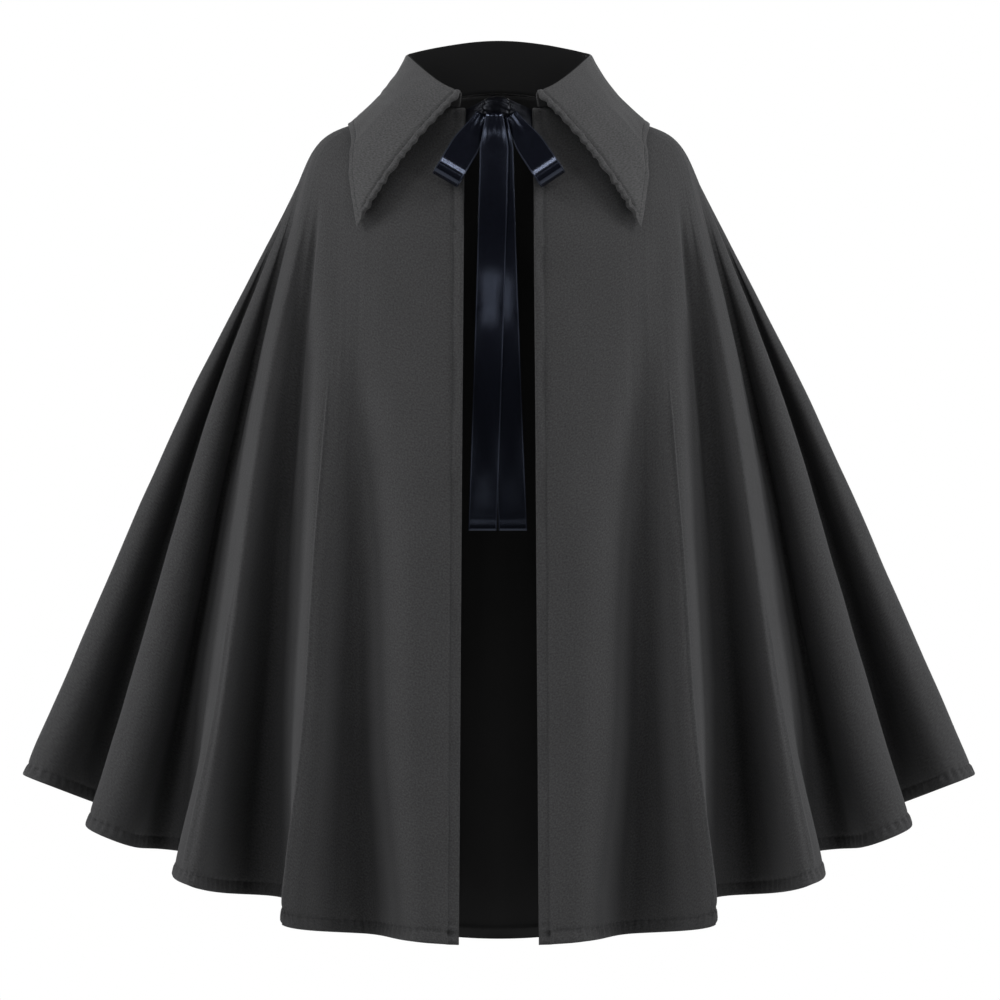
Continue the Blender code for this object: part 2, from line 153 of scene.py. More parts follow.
def wallPiece(name, outer, inner, uv, materials):
    # a closed cloth wall between two grids; the first material is outside and on the rim
    columns, rings = outer.shape[:2]
    count = columns * rings
    index = np.arange(count).reshape(columns, rings)
    a, b = index[:-1, :-1].ravel(), index[:-1, 1:].ravel()
    c, d = index[1:, 1:].ravel(), index[1:, :-1].ravel()
    outside = np.stack([a, b, c, d], -1)
    inside = np.stack([a, d, c, b], -1) + count
    border = np.concatenate([index[:, 0], index[-1, 1:], index[-2::-1, -1], index[0, -2:0:-1]])
    following = np.roll(border, -1)
    rim = np.stack([border, following, following + count, border + count], -1)
    faces = np.concatenate([outside, rim, inside])
    points = np.concatenate([outer.reshape(-1, 3), inner.reshape(-1, 3)])
    piece = meshPiece(name, points, faces.tolist(), np.tile(uv.reshape(-1, 2), (2, 1)), materials)
    if len(materials) > 1:
        slots = np.zeros(len(faces), int)
        slots[len(outside) + len(rim):] = 1
        piece.data.polygons.foreach_set("material_index", slots.tolist())
    return piece


# cloth and ribbon finishes

def newGroup(name, inputs, outputs):
    group = bpy.data.node_groups.new(name, "ShaderNodeTree")
    for label, value in inputs.items():
        socket = group.interface.new_socket(label, in_out="INPUT", socket_type="NodeSocketFloat")
        socket.default_value = value
    for label in outputs:
        group.interface.new_socket(label, in_out="OUTPUT", socket_type="NodeSocketFloat")
    return group, group.nodes.new("NodeGroupInput").outputs, group.nodes.new("NodeGroupOutput")


def put(tree, node, values):
    # each input gets a plain value, or a link from another node
    for label, value in values.items():
        if isinstance(value, bpy.types.NodeSocket):
            tree.links.new(value, node.inputs[label])
        else:
            node.inputs[label].default_value = value


def newNode(tree, kind, values, **settings):
    node = tree.nodes.new(kind)
    for name, value in settings.items():
        setattr(node, name, value)
    put(tree, node, values)
    return node


def mathNode(tree, operation, *terms):
    return newNode(tree, "ShaderNodeMath", dict(enumerate(terms)), operation=operation).outputs[0]


def times(tree, first, second):
    return mathNode(tree, "MULTIPLY", first, second)


def plus(tree, first, second):
    return mathNode(tree, "ADD", first, second)


def noiseNode(tree, place, scale, detail=2.0):
    values = {"Vector": place, "Scale": scale, "Detail": detail}
    return newNode(tree, "ShaderNodeTexNoise", values).outputs["Fac"]


def evenNoise(tree, place, scale, detail):
    # noise on both sides of zero
    return mathNode(tree, "SUBTRACT", noiseNode(tree, place, scale, detail), 0.5)


def flatPlace(group):
    # the place on the flat cloth, then its part across and its part along
    place = group.nodes.new("ShaderNodeTexCoord").outputs["UV"]
    split = newNode(group, "ShaderNodeSeparateXYZ", {0: place})
    return place, split.outputs[0], split.outputs[1]


# scales are for each metre, the other values are shares of the relief or of the tone
twillForm = {"wanderScale": 90.0, "wander": 0.0016, "ribs": 0.30, "weft": 0.12, "weaveTone": 0.16,
             "fuzzScale": 1500.0, "fuzzHeight": 1.6, "fuzzTone": 0.5, "fleckScale": 620.0,
             "cloudScale": 22.0, "cloud": 0.22, "depth": 0.0002, "roughTone": 0.10,
             "sheenRoughness": 0.45, "sheenTint": (0.75, 0.76, 0.80)}


def buildTwillGroup():
    # fine diagonal weave on the flat cloth, with the fuzz and flecks of a brushed face
    form = twillForm
    inputs = {"Threads per metre": 1150.0, "Fuzz": 0.5, "Flecks": 0.5}
    group, given, result = newGroup("fineTwill", inputs, ("Height", "Tone"))
    place, across, along = flatPlace(group)
    wander = times(group, noiseNode(group, place, form["wanderScale"]), form["wander"])
    turns = times(group, given["Threads per metre"], 2 * math.pi)
    diagonal = plus(group, plus(group, across, wander), along)
    ribs = mathNode(group, "SINE", times(group, diagonal, turns))
    weft = mathNode(group, "SINE", times(group, along, turns))
    weave = plus(group, times(group, ribs, form["ribs"]), times(group, weft, form["weft"]))
    fuzz = times(group, evenNoise(group, place, form["fuzzScale"], 3.0), given["Fuzz"])
    flecks = times(group, evenNoise(group, place, form["fleckScale"], 4.0), given["Flecks"])
    cloud = times(group, evenNoise(group, place, form["cloudScale"], 3.0), form["cloud"])
    height = plus(group, weave, times(group, fuzz, form["fuzzHeight"]))
    tone = plus(group, plus(group, flecks, cloud), times(group, weave, form["weaveTone"]))
    tone = plus(group, tone, times(group, fuzz, form["fuzzTone"]))
    put(group, result, {"Height": height, "Tone": tone})
    return group


satinForm = {"wanderScale": 60.0, "wander": 0.0010, "floats": 0.35, "wovenEdge": 0.0011,
             "slubScale": 240.0, "depth": 0.0001, "contrast": 1.2, "edgeRoughness": 0.16}


def buildSatinGroup():
    # tight lengthwise floats of a satin ribbon, with a plainer woven edge
    form = satinForm
    inputs = {"Floats per metre": 2600.0, "Half width": 0.0125}
    group, given, result = newGroup("satinFloats", inputs, ("Height", "Edge", "Tone"))
    place, across, _ = flatPlace(group)
    turns = times(group, given["Floats per metre"], 2 * math.pi)
    wander = times(group, noiseNode(group, place, form["wanderScale"]), form["wander"])
    floats = mathNode(group, "SINE", times(group, plus(group, across, wander), turns))
    fromMiddle = mathNode(group, "ABSOLUTE", across)
    fromEdge = mathNode(group, "SUBTRACT", given["Half width"], fromMiddle)
    edge = mathNode(group, "LESS_THAN", fromEdge, form["wovenEdge"])
    slub = evenNoise(group, place, form["slubScale"], 3.0)
    height = plus(group, times(group, floats, form["floats"]), slub)
    put(group, result, {"Height": height, "Edge": edge, "Tone": slub})
    return group


twillGroup = buildTwillGroup()
satinGroup = buildSatinGroup()


def mixColours(tree, factor, first, second):
    return newNode(tree, "ShaderNodeMix", {0: factor, 6: first, 7: second}, data_type="RGBA").outputs[2]


def rgba(colour):
    return (*colour, 1.0)


def newFinish(name, group, look, form):
    # a material on one of the weaves, with the weave's relief
    material = bpy.data.materials.new(name)
    material.use_nodes = True
    material.diffuse_color = rgba(look["light"])
    tree = material.node_tree
    shader = tree.nodes["Principled BSDF"]
    weave = newNode(tree, "ShaderNodeGroup", {}, node_tree=group)
    values = {"Strength": look["relief"], "Distance": form["depth"], "Height": weave.outputs["Height"]}
    relief = newNode(tree, "ShaderNodeBump", values)
    put(tree, shader, {"Normal": relief.outputs["Normal"], "Specular IOR Level": look["specular"]})
    return material, tree, shader, weave


faceWeave = {"threads": 1150.0, "fuzz": 0.5, "flecks": 2.2, "contrast": 1.0, "relief": 0.45,
             "roughness": 0.90, "specular": 0.22, "sheen": 0.10}
innerWeave = {"threads": 1150.0, "fuzz": 0.3, "flecks": 0.4, "contrast": 0.8, "relief": 0.20,
              "roughness": 0.95, "specular": 0.10, "sheen": 0.0}
threadTwist = {"threads": 2400.0, "fuzz": 0.3, "flecks": 0.3, "contrast": 0.8, "relief": 0.30,
               "roughness": 0.65, "specular": 0.30, "sheen": 0.0}
clothLooks = {
    "capeCloth": {**faceWeave, "dark": (0.030, 0.030, 0.031), "light": (0.068, 0.068, 0.070)},
    "collarCloth": {**faceWeave, "dark": (0.041, 0.041, 0.042), "light": (0.094, 0.094, 0.096)},
    # the inner face is a darker copy of the cape cloth: painted shade for the inside of the cape
    "paintedShadeInsideCloth": {**innerWeave, "dark": (0.0165, 0.0165, 0.0169), "light": (0.0330, 0.0330, 0.0338)},
    # the neck side of the collar's stand is a still darker copy: painted shade inside the neck
    "paintedShadeStandCloth": {**innerWeave, "dark": (0.0061, 0.0061, 0.0063), "light": (0.0122, 0.0122, 0.0126)},
    "sewingThread": {**threadTwist, "dark": (0.020, 0.020, 0.021), "light": (0.042, 0.042, 0.044)},
}


def buildCloth(name, look):
    form = twillForm
    material, tree, shader, weave = newFinish(name, twillGroup, look, form)
    put(tree, weave, {"Threads per metre": look["threads"], "Fuzz": look["fuzz"], "Flecks": look["flecks"]})
    tone = weave.outputs["Tone"]
    spread = plus(tree, times(tree, tone, look["contrast"]), 0.5)
    put(tree, shader, {
        "Base Color": mixColours(tree, spread, rgba(look["dark"]), rgba(look["light"])),
        "Roughness": plus(tree, times(tree, tone, form["roughTone"]), look["roughness"]),
        "Sheen Weight": look["sheen"],
        "Sheen Roughness": form["sheenRoughness"],
        "Sheen Tint": rgba(form["sheenTint"]),
    })
    return material


capeCloth, collarCloth, paintedShadeInsideCloth, paintedShadeStandCloth, sewingThread = (
    buildCloth(name, look) for name, look in clothLooks.items())

satinLooks = {
    "ribbonSatin": {"dark": (0.0014, 0.0015, 0.0027), "light": (0.0045, 0.0050, 0.0095),
                    "edge": (0.0050, 0.0055, 0.0095), "roughness": 0.18, "relief": 0.12, "specular": 0.80,
                    "tint": (0.62, 0.72, 1.0), "anisotropy": 0.45},
    # a dull, low-sheen copy of the ribbon satin for the knot and sewn ends: duller where crumpled, and
    # painted shade that keeps them dark
    "crumpledPaintedShadeSatin": {"dark": (0.0018, 0.0018, 0.0024), "light": (0.0045, 0.0046, 0.0066),
                      "edge": (0.0060, 0.0062, 0.0085), "roughness": 0.34, "relief": 0.20, "specular": 0.11,
                      "tint": (0.75, 0.82, 1.0), "anisotropy": 0.2},
}


def buildSatin(name, look):
    form = satinForm
    material, tree, shader, weave = newFinish(name, satinGroup, look, form)
    edge = weave.outputs["Edge"]
    spread = plus(tree, times(tree, weave.outputs["Tone"], form["contrast"]), 0.5)
    face = mixColours(tree, spread, rgba(look["dark"]), rgba(look["light"]))
    put(tree, shader, {
        "Base Color": mixColours(tree, edge, face, rgba(look["edge"])),
        "Roughness": plus(tree, times(tree, edge, form["edgeRoughness"]), look["roughness"]),
        "Specular Tint": rgba(look["tint"]),
        "Anisotropic": look["anisotropy"],
    })
    return material


ribbonSatin, crumpledPaintedShadeSatin = (buildSatin(name, look) for name, look in satinLooks.items())
print("finishes made")


# the cape's surface: lines of cloth from neckline to hem, one row for each ridge and trough

bodyForm = {
    "neckline": {"halfWidth": 0.076, "front": 0.070, "back": 0.062,
                 "zFront": -0.008, "zSide": 0.000, "zBack": 0.014},
    "shoulder": {"halfWidth": 0.167, "front": 0.095, "back": 0.105,
                 "zFront": -0.095, "zSide": -0.028, "zBack": -0.050},
    "neckFrontAngle": 23.5,  # degrees from centre front
    "shoulderRound": 0.025,
    "hangRound": 0.032,
    "levelPasses": 3,  # rounds of evening out that leave the hem without its folds
    "foldSoftness": 0.012,
    "foldLead": 0.1,  # part of a fold that shows from the start of the hang
    "flareFrom": 0.68,  # share of the hang
}
# name, angle on the shoulder, hem x, y, z, onset of the fold, bow, curl, flare near the hem:
# left half, from the front edge to centre back
foldRows = [
    ("front edge", 10.7, 0.0345, -0.205, -0.739, 0.30, 0, 0, 0),
    ("front flat", 25.0, 0.070, -0.213, -0.736, 0.50, 0, 0, -0.010),
    ("front valley", 44.5, 0.114, -0.134, -0.735, 0.50, 0.005, 0, -0.011),
    ("front ridge", 57.0, 0.187, -0.208, -0.721, 0.55, 0.001, 0, 0.014),
    ("chest trough, front", 66.0, 0.189, -0.112, -0.705, 0.28, 0.006, 0.003, -0.014),
    ("chest trough", 71.0, 0.221, -0.085, -0.704, 0.25, 0.008, 0.003, 0),
    ("chest ridge", 79.0, 0.270, -0.171, -0.690, 0.28, 0.007, 0.006, 0),
    ("chest ridge, outer", 81.5, 0.285, -0.148, -0.685, 0.28, 0.007, 0.006, 0.010),
    ("arm trough, front", 85.3, 0.278, -0.068, -0.668, 0.32, 0.008, 0.003, -0.018),
    ("arm trough", 87.4, 0.307, -0.044, -0.666, 0.32, 0.008, 0.003, -0.004),
    ("arm face", 90.5, 0.337, -0.105, -0.656, 0.36, 0.009, 0.004, 0),
    ("arm ridge", 92.0, 0.362, -0.099, -0.646, 0.36, 0.010, 0.004, 0),
    ("side trough, front", 96.2, 0.343, -0.010, -0.635, 0.34, 0.009, 0.003, -0.010),
    ("side trough", 97.7, 0.359, 0.010, -0.630, 0.36, 0.009, 0.003, -0.010),
    ("side face", 100.4, 0.402, -0.037, -0.610, 0.42, 0.009, 0.002, 0),
    ("side ridge", 102.0, 0.425, -0.025, -0.602, 0.40, 0.009, 0.002, 0),
    ("side ridge, back", 103.6, 0.424, 0.005, -0.602, 0.38, 0.009, 0.002, 0),
    ("behind side", 107.7, 0.374, 0.068, -0.610, 0.30, 0.008, 0, 0),
    ("back arm ridge", 113.5, 0.394, 0.136, -0.618, 0.25, 0.008, 0.003, 0),
    ("back arm trough", 121.0, 0.301, 0.116, -0.645, 0.30, 0.007, 0.003, 0),
    ("blade ridge", 130.0, 0.313, 0.210, -0.668, 0.30, 0.006, 0.004, 0),
    ("blade trough", 140.0, 0.209, 0.161, -0.698, 0.35, 0.005, 0.002, 0),
    ("back ridge", 150.0, 0.204, 0.256, -0.724, 0.35, 0.004, 0.003, 0),
    ("back trough", 160.0, 0.107, 0.185, -0.746, 0.40, 0.004, 0.001, 0),
    ("spine ridge", 170.0, 0.088, 0.266, -0.762, 0.40, 0.003, 0.002, 0),
    ("centre back", 180.0, 0, 0.208, -0.766, 0.45, 0.003, 0, 0),
]


def bothSides(rows, signs, angleColumns):
    # the rows of the left half, then their mirror images back to the front
    left = np.array([row[1:] for row in rows])
    right = left[-2::-1] * signs
    right[:, angleColumns] = 360 - right[:, angleColumns]
    return np.vstack([left, right])


foldTable = bothSides(foldRows, (1, -1, 1, 1, 1, 1, 1, -1), [0])
foldKnots = runLength(foldTable[:, 1:4], 0)
lastRow = len(foldKnots) - 1
levelTable = foldTable[:, 1:4].copy()
for _ in range(bodyForm["levelPasses"]):
    levelTable[1:-1] = (levelTable[:-2] + 2 * levelTable[1:-1] + levelTable[2:]) / 4


def ringPoints(ring, angles):
    sine, cosine = np.sin(np.radians(angles)), np.cos(np.radians(angles))
    depth = np.where(cosine > 0, ring["front"], ring["back"])
    ends = np.where(cosine > 0, ring["zFront"], ring["zBack"])
    height = ring["zSide"] + (ends - ring["zSide"]) * cosine ** 2
    return np.stack([ring["halfWidth"] * sine, -depth * cosine, height], axis=-1)


def placeAtRow(row):
    return np.interp(row, np.arange(lastRow + 1), foldKnots)


def capeLines(places, onShoulder, inTurn, inHang):
    form = bodyForm
    rows = curveThrough(foldKnots, foldTable, places) * 2
    for shift in (-form["foldSoftness"], form["foldSoftness"]):
        rows = rows + curveThrough(foldKnots, foldTable, places + shift)
    angles, hem, onset, bow, curl, flare = np.split(rows / 4, (1, 4, 5, 6, 7), axis=1)
    angles = angles[:, 0]
    level = curveThrough(foldKnots, levelTable, places)
    front, first = form["neckFrontAngle"], foldTable[0, 0]
    neck = ringPoints(form["neckline"], front + (angles - first) / (180 - first) * (180 - front))
    shoulder = ringPoints(form["shoulder"], angles)
    turnStart = shoulder + unit(neck - shoulder) * form["shoulderRound"]
    turnEnd = shoulder + unit(level - shoulder) * form["hangRound"]
    outwards = unit((level - shoulder) * (1, 1, 0))
    rings = [neck + share * (turnStart - neck) for share in onShoulder]
    rings += [curveOver(turnStart, shoulder, turnEnd, share) for share in inTurn]
    for share in inHang:
        aim = level + (hem - level) * ease((share + form["foldLead"]) / (onset + form["foldLead"]))
        late = ease((share - form["flareFrom"]) / (1 - form["flareFrom"]))
        aim = aim - flare * (1 - late) * (1, 0, 0)
        swing = bow * math.sin(math.pi * share) + curl * math.sin(2 * math.pi * share)
        rings.append(turnEnd + share * (aim - turnEnd) + swing * outwards)
    return np.stack(rings, axis=1)


panelForm = {
    "wall": 0.0014,
    "hemDepth": 0.0105,  # turned hem at the bottom
    "edgeDepth": 0.0090,  # turned hem down the front edges
    "hemWall": 0.0009, "hemAhead": 0.0008,  # thickness added where a hem is turned
    "longRipple": (0.0013, 21, 2.2),  # height, number a metre across and down
    "fineRipple": (0.0005, 55, 7), "fineAtTop": 0.3,
    "unevenness": (0.0006, 26, 18),
    "rippleFrom": 0.10, "rippleOver": 0.35,  # below the neckline
    "hemCalm": 0.03, "edgeCalm": 0.012, "edgeKeep": 0.25,  # where ripples fade beside the hems
    "creaseFade": 0.06,
    "seamGap": 0.0003, "seamDrop": 0.0008, "seamOver": 0.0022,
    "sideSeamRow": 16.4,
    "frontStep": 0.0024, "backStep": 0.0042,  # between the columns of the mesh, along the hem
    "tangentStep": 0.001,
    "shoulderRings": 14, "hangRings": 64,
    "evenHang": 0.962, "hangLength": 0.68,  # share of the hang with even rings
    "turnMargin": (4, 8), "turnRounds": 10,  # rings evened out with the shoulder's turn
}
# name, row of the fold table, top and foot height, height of the crease, half width along the hem
creases = [
    ("chest trough, pinched at the top", 4.6, -0.080, -0.400, -0.0045, 0.0140),
    ("arm trough, pinched at the top", 8.6, -0.080, -0.360, -0.0035, 0.0140),
    ("side trough, pinched at the top", 12.6, -0.080, -0.320, -0.0030, 0.0140),
    ("pressed line on the front ridge", 3.14, -0.240, -0.800, 0.0024, 0.0032),
    ("pressed line on the chest ridge", 6.4, -0.420, -0.800, 0.0022, 0.0032),
]
# millimetres of the mesh lines from a hem, a front edge and a seam
hemSteps = np.array([22, 19, 16.5, 14.5, 13, 12.2, 11.4, 10.8, 10.2, 9.4, 8.2, 6.6, 5.0, 3.5, 2.3, 1.4,
                     0.7, 0.25, 0]) / 1000
edgeSteps = np.array([0, 0.25, 0.7, 1.4, 2.3, 3.5, 5.0, 6.6, 7.8, 8.5, 9.1, 9.8, 10.6, 12, 14, 17, 20,
                      24, 28]) / 1000
seamSteps = np.array([0, 0.5, 1.2, 2.4, 4.0]) / 1000
evenRings = np.linspace(0, panelForm["evenHang"], panelForm["hangRings"])
ringPlan = {
    "onShoulder": np.linspace(0, 1, panelForm["shoulderRings"]),
    "inTurn": np.linspace(0, 1, panelForm["shoulderRings"])[1:-1],
    "inHang": np.concatenate([evenRings, 1 - hemSteps / panelForm["hangLength"]]),
}


def panelPlaces(firstRow, endRow, step, frontFirst, frontLast):
    start, stop = placeAtRow(firstRow), placeAtRow(endRow)
    inner = np.linspace(start, stop, int(round((stop - start) / step)))
    opening = start + (edgeSteps if frontFirst else seamSteps)
    closing = (stop - (edgeSteps if frontLast else seamSteps))[::-1]
    inner = inner[(inner > opening[-1] + step / 2) & (inner < closing[0] - step / 2)]
    return np.concatenate([opening, inner, closing])


# a turned hem: its lift, the stitched-down line with small dimples, the swell between them, the round edge
hemForm = {"lift": 0.00080, "liftAhead": 0.0012, "liftOver": 0.0016, "groove": 0.00200, "lineShare": 0.35,
           "lineWidth": 0.0013, "dimplePitch": 0.0088, "dimpleIn": 0.0015, "dimpleWidth": 0.0034,
           "unevenRate": 60, "unevenShift": 2.0, "swell": 0.0006, "swellOver": 0.004, "swellEdge": 0.002,
           "swellRise": 0.4, "edgeDrop": 0.0007, "edgeOver": 0.0013}


def hemRelief(distance, arc, depth, seed):
    form = hemForm
    lift = form["lift"] * ease((depth + form["liftAhead"] - distance) / form["liftOver"])
    uneven = softNoise(arc * form["unevenRate"], distance * 0, seed)
    dimple = 0.5 + 0.5 * np.cos(2 * math.pi * arc / form["dimplePitch"] + form["unevenShift"] * uneven)
    line = form["lineShare"] * bump(distance, depth, form["lineWidth"])
    groove = form["groove"] * (line + dimple * bump(distance, depth - form["dimpleIn"], form["dimpleWidth"]))
    fade = ease((depth - distance) / form["swellOver"]) * ease(distance / form["swellEdge"])
    swell = form["swell"] * fade * (form["swellRise"] - dimple) * (1 + uneven)
    edge = form["edgeDrop"] * np.clip(1 - distance / form["edgeOver"], 0, 1) ** 2
    return lift - groove + swell - edge


def hemWall(distance, depth):
    rise = ease((depth + panelForm["hemAhead"] - distance) / hemForm["liftOver"])
    return panelForm["wall"] + panelForm["hemWall"] * rise


def buildPanel(name, firstRow, endRow, step, frontFirst, frontLast, seed):
    form = panelForm
    places = panelPlaces(firstRow, endRow, step, frontFirst, frontLast)
    lines = capeLines(places, **ringPlan)
    turnFrom = len(ringPlan["onShoulder"]) - form["turnMargin"][0]
    turnTo = len(ringPlan["onShoulder"]) + len(ringPlan["inTurn"]) + form["turnMargin"][1]
    lines = calm(lines, 1, form["turnRounds"], turnFrom, turnTo)
    near = form["tangentStep"]
    along = unit(capeLines(places + near, **ringPlan) - capeLines(places - near, **ringPlan))
    normals = unit(np.cross(np.gradient(lines, axis=1), along))
    down = runLength(lines, 1)
    fromHem = down[:, -1:] - down
    across = runLength(lines, 0)
    width = across[-1:, :]
    arc = np.repeat(places[:, None], lines.shape[1], axis=1)

    # long soft ripples that follow the drape, finer ones between them, and uneven cloth
    fall = ease((down - form["rippleFrom"]) / form["rippleOver"])
    height, rateAcross, rateDown = form["longRipple"]
    relief = height * fall * softNoise(arc * rateAcross, down * rateDown, seed)
    height, rateAcross, rateDown = form["fineRipple"]
    fine = form["fineAtTop"] + (1 - form["fineAtTop"]) * fall
    relief += height * fine * softNoise(arc * rateAcross, down * rateDown, seed + 4)
    height, rateAcross, rateDown = form["unevenness"]
    slope = lines[..., 2] * rateDown + lines[..., 1] * rateAcross
    relief += height * softNoise(lines[..., 0] * rateAcross, slope, seed + 9)
    fade = form["creaseFade"]
    for _, row, top, foot, depth, halfWidth in creases:
        reach = ease((top - lines[..., 2]) / fade) * ease((lines[..., 2] - foot) / fade)
        for place in (placeAtRow(row), placeAtRow(lastRow - row)):
            relief += depth * reach * bump(arc, place, halfWidth)

    relief = relief * ease(fromHem / form["hemCalm"]) + hemRelief(fromHem, arc, form["hemDepth"], seed + 2)
    thick = hemWall(fromHem, form["hemDepth"])
    for isFront, distance in ((frontFirst, across), (frontLast, width - across)):
        if isFront:
            relief = relief * ease(distance / form["edgeCalm"] + form["edgeKeep"])
            relief += hemRelief(distance, down, form["edgeDepth"], seed + 6)
            thick = np.maximum(thick, hemWall(distance, form["edgeDepth"]))
        else:
            relief -= form["seamDrop"] * np.clip(1 - distance / form["seamOver"], 0, 1) ** 2
    outer = lines + normals * relief[..., None]
    if not frontFirst:
        outer[0] += along[0] * form["seamGap"] / 2
    if not frontLast:
        outer[-1] -= along[-1] * form["seamGap"] / 2
    inner = outer - normals * thick[..., None]

    # the weave is laid from the front edge, or from the middle of the back
    start = 0 if frontFirst else width if frontLast else width / 2
    uv = np.stack([across - start, -down], -1)
    # the inner face takes the darker copy of the cloth, painted shade
    piece = wallPiece(name, outer, inner, uv, [capeCloth, paintedShadeInsideCloth])
    return {"piece": piece, "outer": outer, "normals": normals, "fromHem": fromHem,
            "across": across, "width": width}


sideRow = panelForm["sideSeamRow"]
leftFront = buildPanel("leftFront", 0, sideRow, panelForm["frontStep"], True, False, 3.1)
rightFront = buildPanel("rightFront", lastRow - sideRow, lastRow, panelForm["frontStep"], False, True, 17.7)
backPanel = buildPanel("backPanel", sideRow, lastRow - sideRow, panelForm["backStep"], False, False, 31.3)


# the collar: up the stand, over the roll and down the fall

collarForm = {
    "wall": 0.0024, "columns": 18, "endReach": 0.30,  # columns a row, closer in this part of the first row
    "rings": (12, 14, 46), "evenFall": 0.895,  # on the stand, the roll and the even part of the fall
    "rollRadius": 0.0022, "rollFade": (-0.002, 0.006),
    "seamSink": 0.001, "edgeLift": 0.0014, "frontLift": 0.0075,
    "stitchIn": 0.0062, "grooveWidth": 0.0012, "groove": (0.0005, 0.0011),  # and what the front edges add
    "pucker": 0.0110, "puckerHeight": 0.0013, "unevenRate": 45, "unevenShift": 3.5, "edgeShift": 0.3,
    "puckerReach": (0.0085, 0.006),  # reaches: a distance and the length it fades over
    "frontReach": (0.020, 0.008), "footReach": (0.003, 0.012), "pointReach": (0.006, 0.010),
    "edgePuff": 0.0016, "puffOver": 0.003, "scallop": 0.0007, "scallopOver": 0.006,
    "ripples": ((0.0006, 30, 24, 8.2), (0.0005, 75, 60, 2.7)),  # height, number across and down, seed
    "edgeThin": 0.45, "thinOver": 0.025, "edgeRound": 0.0014,  # share of the wall left at the edge
}
# name, angle on the neckline, top of the roll x, y, z, angle on the shoulder and reach of the edge, bulge
collarRows = [
    ("front end", 27.5, 0.034, -0.068, 0.007, 46.8, 0.139, 0.013),
    ("front", 44.0, 0.049, -0.058, 0.014, 52.0, 0.106, 0.012),
    ("front side", 65.0, 0.066, -0.033, 0.028, 60.0, 0.074, 0.004),
    ("side", 90.0, 0.080, 0.006, 0.043, 80.0, 0.063, -0.0035),
    ("back side", 120.0, 0.077, 0.042, 0.050, 115.0, 0.063, -0.005),
    ("back quarter", 150.0, 0.045, 0.071, 0.059, 148.0, 0.072, -0.003),
    ("back", 180.0, 0.000, 0.081, 0.064, 180.0, 0.080, -0.002),
]
cadRings = {"onShoulder": (0.0, 0.5, 1.0), "inTurn": (0.35, 0.7),
            "inHang": (0.0, 0.10, 0.22, 0.36, 0.52, 0.68, 0.84, 1.0)}


def onCape(angles, reaches):
    # points on the cape at a distance from the neckline, with normals
    dense = np.linspace(foldKnots[0], foldKnots[-1], 1200)
    denseAngles = curveThrough(foldKnots, foldTable[:, :1], dense)[:, 0]

    def at(someAngles, someReaches):
        lines = capeLines(np.interp(someAngles, denseAngles, dense), **cadRings)
        return np.array([pointAt(*each) for each in zip(lines, runLength(lines, 1), someReaches)])

    along = at(angles + 1, reaches) - at(angles - 1, reaches)
    down = at(angles, reaches + 0.004) - at(angles, reaches - 0.004)
    return at(angles, reaches), unit(np.cross(down, along))


def collarMiddle(places, inStand, inRoll, inFall):
    form = collarForm
    table = bothSides(collarRows, (1, -1, 1, 1, 1, 1, 1), [0, 4])
    rows = curveThrough(np.arange(len(table), dtype=float), table, places)
    seamAngle, roll, edgeAngle, edgeReach, bulge = np.split(rows, (1, 4, 5, 6), axis=1)
    seamAngle = seamAngle[:, 0]
    front, first = bodyForm["neckFrontAngle"], foldTable[0, 0]
    bodyAngle = first + (seamAngle - front) / (180 - front) * (180 - first)
    seam, seamNormal = onCape(bodyAngle, np.zeros(len(rows)))
    below, _ = onCape(bodyAngle, np.full(len(rows), 0.01))
    rise = panelForm["seamGap"] + form["wall"] / 2
    foot = seam - seamNormal * form["seamSink"] + unit(seam - below) * rise
    edge, edgeNormal = onCape(edgeAngle[:, 0], edgeReach[:, 0])
    toFront = ease(1 - np.minimum(places, len(table) - 1 - places))[:, None]
    edge = edge + edgeNormal * (form["edgeLift"] + (form["frontLift"] - form["edgeLift"]) * toFront)
    turn = np.radians(seamAngle)
    outwards = np.stack([np.sin(turn), -np.cos(turn), np.zeros(len(rows))], -1)
    upwards = np.array([0.0, 0.0, 1.0])
    radius = form["rollRadius"]
    centre = roll - upwards * radius
    standTop, fallTop = centre - outwards * radius, centre + outwards * radius
    middle = (fallTop + edge) / 2 + unit(outwards + edgeNormal) * bulge * 2
    lines = [foot + share * (standTop - foot) for share in inStand]
    for share in inRoll:
        over = math.sin(math.pi * share) * upwards - math.cos(math.pi * share) * outwards
        lines.append(centre + radius * over)
    lines += [curveOver(fallTop, middle, edge, share) for share in inFall]
    return np.stack(lines, axis=1)


